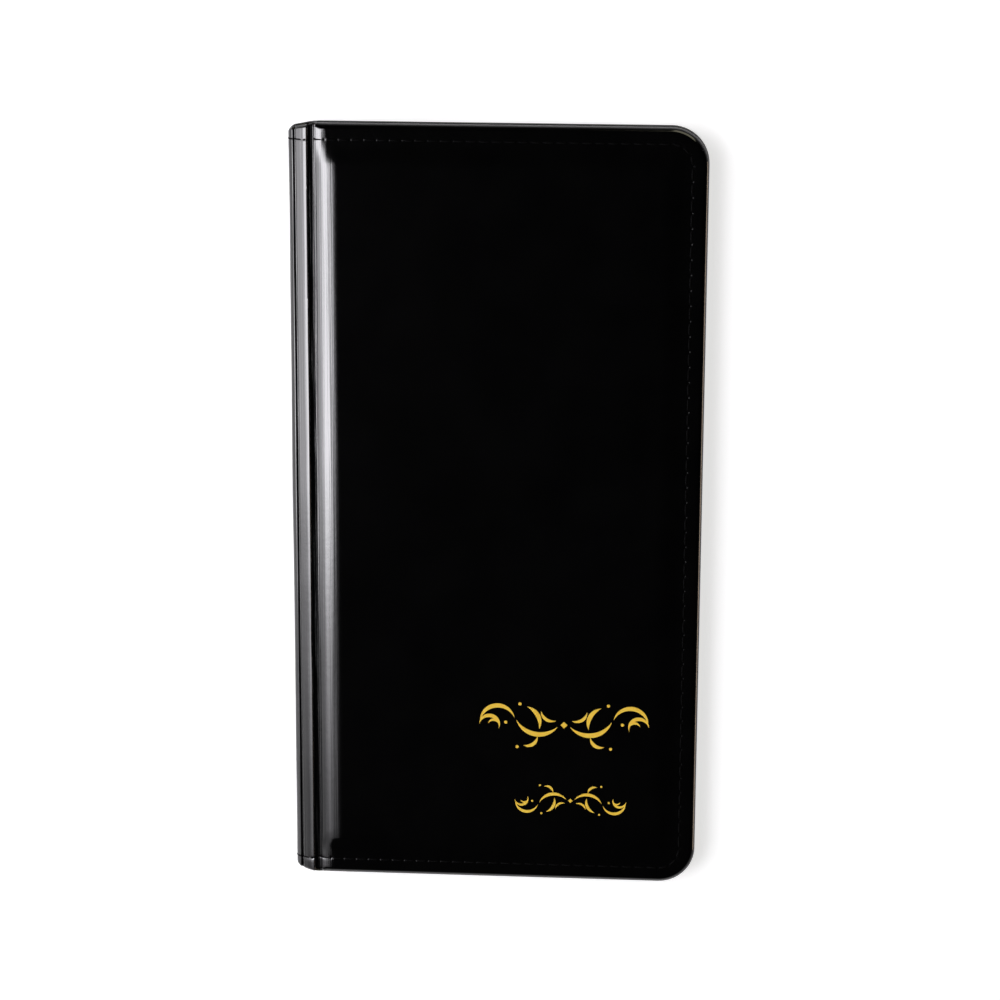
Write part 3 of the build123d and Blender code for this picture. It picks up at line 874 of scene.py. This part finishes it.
def make(tree, kind, values):
    """New shader node with some of its inputs set."""
    node = tree.nodes.new("ShaderNode" + kind)
    set_inputs(node, values)
    return node


def material_nodes(name):
    """New node material and its Principled shader."""
    material = bpy.data.materials.new(name)
    material.use_nodes = True
    return material, material.node_tree, material.node_tree.nodes["Principled BSDF"]


def coordinate(tree, kind):
    """Texture coordinate of one kind."""
    return make(tree, "TexCoord", {}).outputs[kind]


def mapped_noise(tree, place, stretch, values):
    """Noise over stretched coordinates."""
    mapping = make(tree, "Mapping", {"Vector": place, "Scale": stretch})
    return make(tree, "TexNoise", {"Vector": mapping.outputs["Vector"], **values}).outputs["Fac"]


def noise(tree, scale, detail, roughness=0.5, stretch=(1, 1, 1)):
    """Noise over the object's own coordinates, in turns per metre."""
    values = {"Scale": scale, "Detail": detail, "Roughness": roughness}
    return mapped_noise(tree, coordinate(tree, "Object"), stretch, values)


def between(tree, value, low, high):
    """Value of 0 to 1 mapped to low to high."""
    return make(tree, "MapRange", {"Value": value, "To Min": low, "To Max": high}).outputs["Result"]


def ramp(tree, value, stops):
    """Colour ramp through (place, colour) stops."""
    node = make(tree, "ValToRGB", {"Fac": value})
    elements = node.color_ramp.elements
    for index, (place, colour) in enumerate(stops):
        element = elements[index] if index < 2 else elements.new(place)
        element.position = place
        element.color = (*colour, 1)
    return node.outputs["Color"]


def grey_ramp(tree, value, stops):
    """The same through (place, strength) stops."""
    return ramp(tree, value, [(place, (strength,) * 3) for place, strength in stops])


def colours(tree, value, dark, light):
    """Colour between two, by noise around a half."""
    return ramp(tree, value, ((0.3, dark), (0.7, light)))


def bumps(tree, shader, layers):
    """Bump from several heights, each (height, distance in metres)."""
    normal = {}
    for height, distance in layers:
        bump = make(tree, "Bump", {"Height": height, "Distance": distance, **normal})
        normal = {"Normal": bump.outputs["Normal"]}
    set_inputs(shader, normal)


def spine_streaks(tree):
    """Fine lines along the spine, the ridges and the shoulders, fading out onto the panel."""
    width = fore_edge - spine_edge
    place = coordinate(tree, "Generated")
    lines = mapped_noise(tree, place, (290, 4, 0), {"Scale": 1.0, "Detail": 2})
    split = make(tree, "SeparateXYZ", {"Vector": place})
    fade = make(tree, "MapRange", {
        "Value": split.outputs["X"], "From Min": streak_fade[0] / width, "From Max": streak_fade[1] / width,
        "To Min": 1.0, "To Max": 0.0,
    })
    product = make(tree, "Math", {0: lines, 1: fade.outputs["Result"]})
    product.operation = "MULTIPLY"
    return product.outputs["Value"]


def grained_material(name, dark, light, tone, shine, roughness, grains, streak=0.0, settings=None):
    """Material of two tones with uneven shine. tone, shine and each grain hold what noise() takes."""
    material, tree, shader = material_nodes(name)
    set_inputs(shader, {"Base Color": colours(tree, noise(tree, *tone), dark, light),
                        "Roughness": between(tree, noise(tree, *shine), *roughness), **(settings or {})})
    layers = [(noise(tree, *grain), distance) for grain, distance in grains]
    if streak:
        layers.append((spine_streaks(tree), streak))
    bumps(tree, shader, layers)
    return material


def vinyl_material(name, dark, light, roughness, grain, streak=0.0, settings=None):
    """Black vinyl: pressed grain over orange peel, and handled patches that shine less."""
    grains = [((2600, 2, 0.6), grain), ((420, 3), grain * 3)]
    return grained_material(name, dark, light, (60, 3), (38, 4), roughness, grains, streak, settings)


def plain_material(name, dark, light, scale, roughness, depth, stretch=(1, 1, 1)):
    """Rough inner material with grain of its own scale."""
    grain = (scale, 4, 0.6, stretch)
    return grained_material(name, dark, light, grain, (scale / 3, 3), roughness, [(grain, depth)])


gloss = vinyl_material(
    "gloss_vinyl", (0.0006, 0.0006, 0.0007), (0.0013, 0.0013, 0.0014), (0.07, 0.12), 0.000006, 0.00008,
    {"Specular IOR Level": 1.0, "Coat Weight": 1.0, "Coat IOR": 1.55, "Coat Roughness": 0.08},
)
matt = vinyl_material("lining_vinyl", (0.008, 0.008, 0.009), (0.014, 0.014, 0.015), (0.42, 0.55), 0.00003)
satin = vinyl_material("pocket_vinyl", (0.006, 0.006, 0.007), (0.011, 0.011, 0.012), (0.3, 0.42), 0.000015)
thread = grained_material(
    "thread", (0.0012, 0.0012, 0.0013), (0.003, 0.003, 0.0033), (900, 2), (700, 2), (0.5, 0.65),
    [((4000, 2, 0.6, (1, 1, 3)), 0.00004)], settings={"Specular IOR Level": 0.05},
)
foil = grained_material(
    "gold_foil", (0.97, 0.6, 0.05), (1.0, 0.7, 0.09), (500, 4), (1500, 3), (0.3, 0.5),
    [((2600, 2, 0.6), 0.00002)], settings={"Metallic": 0.1},
)
tape = plain_material("tape", (0.01, 0.01, 0.011), (0.03, 0.03, 0.032), 1800, (0.6, 0.8), 0.00006, (1, 6, 1))
card = plain_material("greyboard", (0.2, 0.19, 0.17), (0.45, 0.43, 0.4), 900, (0.8, 0.95), 0.00008)
sponge = plain_material("sponge", (0.5, 0.49, 0.45), (0.75, 0.74, 0.7), 1500, (0.9, 1.0), 0.0002)
strip = plain_material("stiffener", (0.2, 0.2, 0.22), (0.32, 0.32, 0.34), 300, (0.4, 0.55), 0.00001)

slot_materials = {
    "vinyl": gloss, "lining": matt, "pocket": satin, "thread": thread, "foil": foil,
    "binding": tape, "board": card, "foam": sponge, "stiffener": strip,
}
for subpart in frame["record"]["subparts"]:
    node = frame["nodes"][subpart["node"]]
    if not node.material_slots:
        node.data.materials.append(None)
    for holder in node.material_slots:
        holder.material = slot_materials[subpart["material_slot"]]


def hinge_piece(piece, cover, slot, *nodes):
    """A piece that runs from the spine onto a cover. Its transform is baked into its mesh, and the nodes
    that it stands for are hidden.
    """
    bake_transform(piece)
    if nodes:
        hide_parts(*nodes)


def cover_piece(piece, body, node):
    """A piece that rides on one cover and stands for one node."""
    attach(piece, body)
    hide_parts(node)


front_vinyl = cover_vinyl("front_vinyl", False, 11, front_end_radius, gloss)
back_vinyl = cover_vinyl("back_vinyl", True, 23, back_end_radius, gloss)
hinge_piece(front_vinyl, "front_cover", "vinyl",
            "front_skin", "spine_skin", "front_joint_strip")
hinge_piece(back_vinyl, "back_cover", "vinyl", "back_skin", "back_joint_strip")

front_lining = cover_lining("front_lining", False, matt)
back_lining = cover_lining("back_lining", True, matt)
hinge_piece(front_lining, "front_cover", "lining", "front_liner", "spine_liner")
hinge_piece(back_lining, "back_cover", "lining", "back_liner")

front_seam = sewn("front_seam_thread", outer_runs(False), thread_radius, thread)
back_seam = sewn("back_seam_thread", outer_runs(True), thread_radius, thread)
cover_piece(front_seam, "front_cover", "front_stitching_outer")
cover_piece(back_seam, "back_cover", "back_stitching_outer")
front_cross = sewn("front_spine_thread", spine_runs(False), thread_radius, thread)
back_cross = sewn("back_spine_thread", spine_runs(True), thread_radius, thread)
hinge_piece(front_cross, "front_cover", "thread", "spine_stitching")
hinge_piece(back_cross, "back_cover", "thread")

for side, mirrored, body, lining in (("front", False, "front_cover", front_lining),
                                     ("back", True, "back_cover", back_lining)):
    panel = pocket_panel(f"{side}_pocket_panel", cover_pocket, mirrored, satin)
    cover_piece(panel, body, f"{side}_pocket")
    cover_piece(pocket_tape(f"{side}_pocket_tape", cover_pocket, mirrored, tape),
                body, f"{side}_pocket_binding")
    cover_piece(sewn(f"{side}_inner_thread", cover_inner_runs(mirrored), inner_radius, thread),
                body, f"{side}_stitching_inner")
card_panel = pocket_panel("card_pocket_panel", card_pocket, True, satin)
cover_piece(card_panel, "back_cover", "card_pocket")
cover_piece(pocket_tape("card_pocket_tape", card_pocket, True, tape),
            "back_cover", "card_pocket_binding")
cover_piece(sewn("card_pocket_thread", card_runs(), inner_radius, thread),
            "back_cover", "card_pocket_stitching")

# ---- floor, lights and camera
floor_size = 30
floor_lift_to_camera = 0.68  # the floor's own light, which only the camera sees

# The softbox beside the spine, in metres. Angles are in degrees from straight up.
softbox_distance = 1.6
softbox_angles = (78, 10)  # its lower and its upper edge
softbox_ends = (0.5, -1.15)  # its ends in Y, at the head and at the tail
fill_end = 1.0  # the fill light goes on from its head end to here
fill_overlap = 0.15
fill_share = 0.6  # strength of the fill light over the softbox
softbox_power = 98
softbox_tint = (0.97, 0.955, 1)
# Its strength by the angle, and by the place in Y from the head end
softbox_heights = ((78, 0.2), (66, 0.27), (56, 0.36), (48, 0.52), (43, 0.85), (39, 1.0),
                   (27, 1.0), (22, 0.5), (18, 0.08), (14, 0.0))
softbox_lengths = ((0.5, 0.0), (0.2, 0.9), (0.1, 1.0), (-0.36, 1.0), (-0.45, 0.7), (-0.5, 0.42),
                   (-0.6, 0.22), (-0.69, 0.13), (-0.76, 0.08), (-1.15, 0.04))

sky_stops = ((0.05, 0.9), (0.55, 0.004))  # brightness by the direction's Z
sky_side = (1, 0.75, 0)  # direction in which the sky is darker
sky_span = {"From Min": -0.9, "From Max": 0.6, "To Min": 1.0, "To Max": 0.22}

camera_pitch, camera_yaw, camera_roll = 0.2468, 0.0684, -0.0050  # radians
camera_distance = 1007.3
camera_aim = Vector((1.4, 4.54, top - 2.0))
sensor_width = 36.0
focal_share = 2.967  # focal length over the sensor's width


def floor():
    """Pale floor under the closed presenter."""
    bpy.ops.mesh.primitive_plane_add(size=floor_size, location=(0, 0, 0))
    plane = bpy.context.object
    plane.name = "floor"
    material, tree, shader = material_nodes("pale_floor")
    rays = make(tree, "LightPath", {})
    set_inputs(shader, {
        "Base Color": colours(tree, noise(tree, 3, 2), (0.6, 0.6, 0.6), (0.64, 0.64, 0.64)),
        "Roughness": 0.9, "Specular IOR Level": 0.1, "Emission Color": (1, 1, 1, 1),
        "Emission Strength": between(tree, rays.outputs["Is Camera Ray"], 0, floor_lift_to_camera),
    })
    plane.data.materials.append(material)


def area_light(name, place, aim, width, height, power, colour):
    """Rectangular soft light; its width lies across the way it faces, its height upwards."""
    data = bpy.data.lights.new(name, "AREA")
    data.shape = "RECTANGLE"
    data.size, data.size_y = width, height
    data.energy = power
    data.color = colour
    light = bpy.data.objects.new(name, data)
    light.location = place
    light.rotation_euler = (Vector(aim) - Vector(place)).to_track_quat("-Z", "Y").to_euler()
    bpy.context.scene.collection.objects.link(light)
    return light


def side_light():
    """Softbox beside the spine: dark at its top, brightest below that, weaker low down and at both ends.

    A second light of the same kind goes on towards the head. It isn't mirrored in the gloss."""
    low, high = (math.radians(angle) for angle in softbox_angles)
    head_y, tail_y = softbox_ends
    middle_angle = (low + high) / 2
    reach = 2 * softbox_distance * math.tan((low - high) / 2)
    place_x, place_z = -softbox_distance * math.sin(middle_angle), softbox_distance * math.cos(middle_angle)
    power = softbox_power / (fill_end - tail_y)     # watts per metre of length
    fill_start = head_y - fill_overlap
    lights = []
    for name, start, end, share in (("side", tail_y, head_y, 1),
                                    ("side_fill", fill_start, fill_end, fill_share)):
        y = (start + end) / 2
        length = end - start
        lights.append(area_light(name, (place_x, y, place_z), (0, y, 0), length, reach,
                                 share * power * length, softbox_tint))
    softbox, fill = lights
    fill.visible_glossy = False
    softbox.data.use_nodes = True
    tree = softbox.data.node_tree
    spot = make(tree, "NewGeometry", {})
    split = make(tree, "SeparateXYZ", {"Vector": spot.outputs["Parametric"]})
    by_height = []
    for angle, strength in softbox_heights:
        offset = softbox_distance * math.tan(middle_angle - math.radians(angle)) / reach
        by_height.append((0.5 + offset, strength))
    by_length = [((head_y - along) / (head_y - tail_y), strength) for along, strength in softbox_lengths]
    product = make(tree, "Mix", {})
    product.data_type = "RGBA"
    product.blend_type = "MULTIPLY"
    set_inputs(product, {"Factor": 1.0, "A": grey_ramp(tree, split.outputs["X"], by_length),
                         "B": grey_ramp(tree, split.outputs["Y"], by_height)})
    set_inputs(tree.nodes["Emission"], {"Strength": product.outputs["Result"]})


def world_light():
    """Dark overhead and pale at the horizon, palest towards the spine and the tail."""
    world = bpy.data.worlds.new("studio")
    bpy.context.scene.world = world
    world.use_nodes = True
    tree = world.node_tree
    way = coordinate(tree, "Generated")
    split = make(tree, "SeparateXYZ", {"Vector": way})
    side = make(tree, "VectorMath", {0: way, 1: sky_side})
    side.operation = "DOT_PRODUCT"
    span = make(tree, "MapRange", {"Value": side.outputs["Value"], **sky_span})
    set_inputs(tree.nodes["Background"], {"Color": grey_ramp(tree, split.outputs["Z"], sky_stops),
                                          "Strength": span.outputs["Result"]})


def camera():
    """Camera in front of the cover, from the head's side and a little towards the fore-edge."""
    pitch, yaw, roll = camera_pitch, camera_yaw, camera_roll
    right = Vector((math.cos(yaw), 0, -math.sin(yaw)))
    up = Vector((-math.sin(yaw) * math.sin(pitch), math.cos(pitch), -math.cos(yaw) * math.sin(pitch)))
    image_right = math.cos(roll) * right - math.sin(roll) * up
    image_up = math.sin(roll) * right + math.cos(roll) * up
    backwards = image_right.cross(image_up)
    data = bpy.data.cameras.new("camera")
    data.sensor_width = sensor_width
    data.lens = sensor_width * focal_share
    data.clip_start = 0.01
    eye = bpy.data.objects.new("camera", data)
    axes = Matrix((image_right, image_up, backwards)).transposed()
    eye.matrix_world = Matrix.Translation((camera_aim + backwards * camera_distance) * MM) @ axes.to_4x4()
    bpy.context.scene.collection.objects.link(eye)
    bpy.context.scene.camera = eye


floor()
side_light()
area_light("key", (0.9, 1.9, 1.9), (0, 0, 0), 1.6, 1.2, 5, (1, 0.95, 0.7))
area_light("warm_edge", (1.4, -0.28, 0.2), (0, -0.28, 0), 0.8, 0.2, 1.7, (1, 0.74, 0.53))
world_light()
camera()
bpy.context.scene.view_settings.view_transform = "Standard"
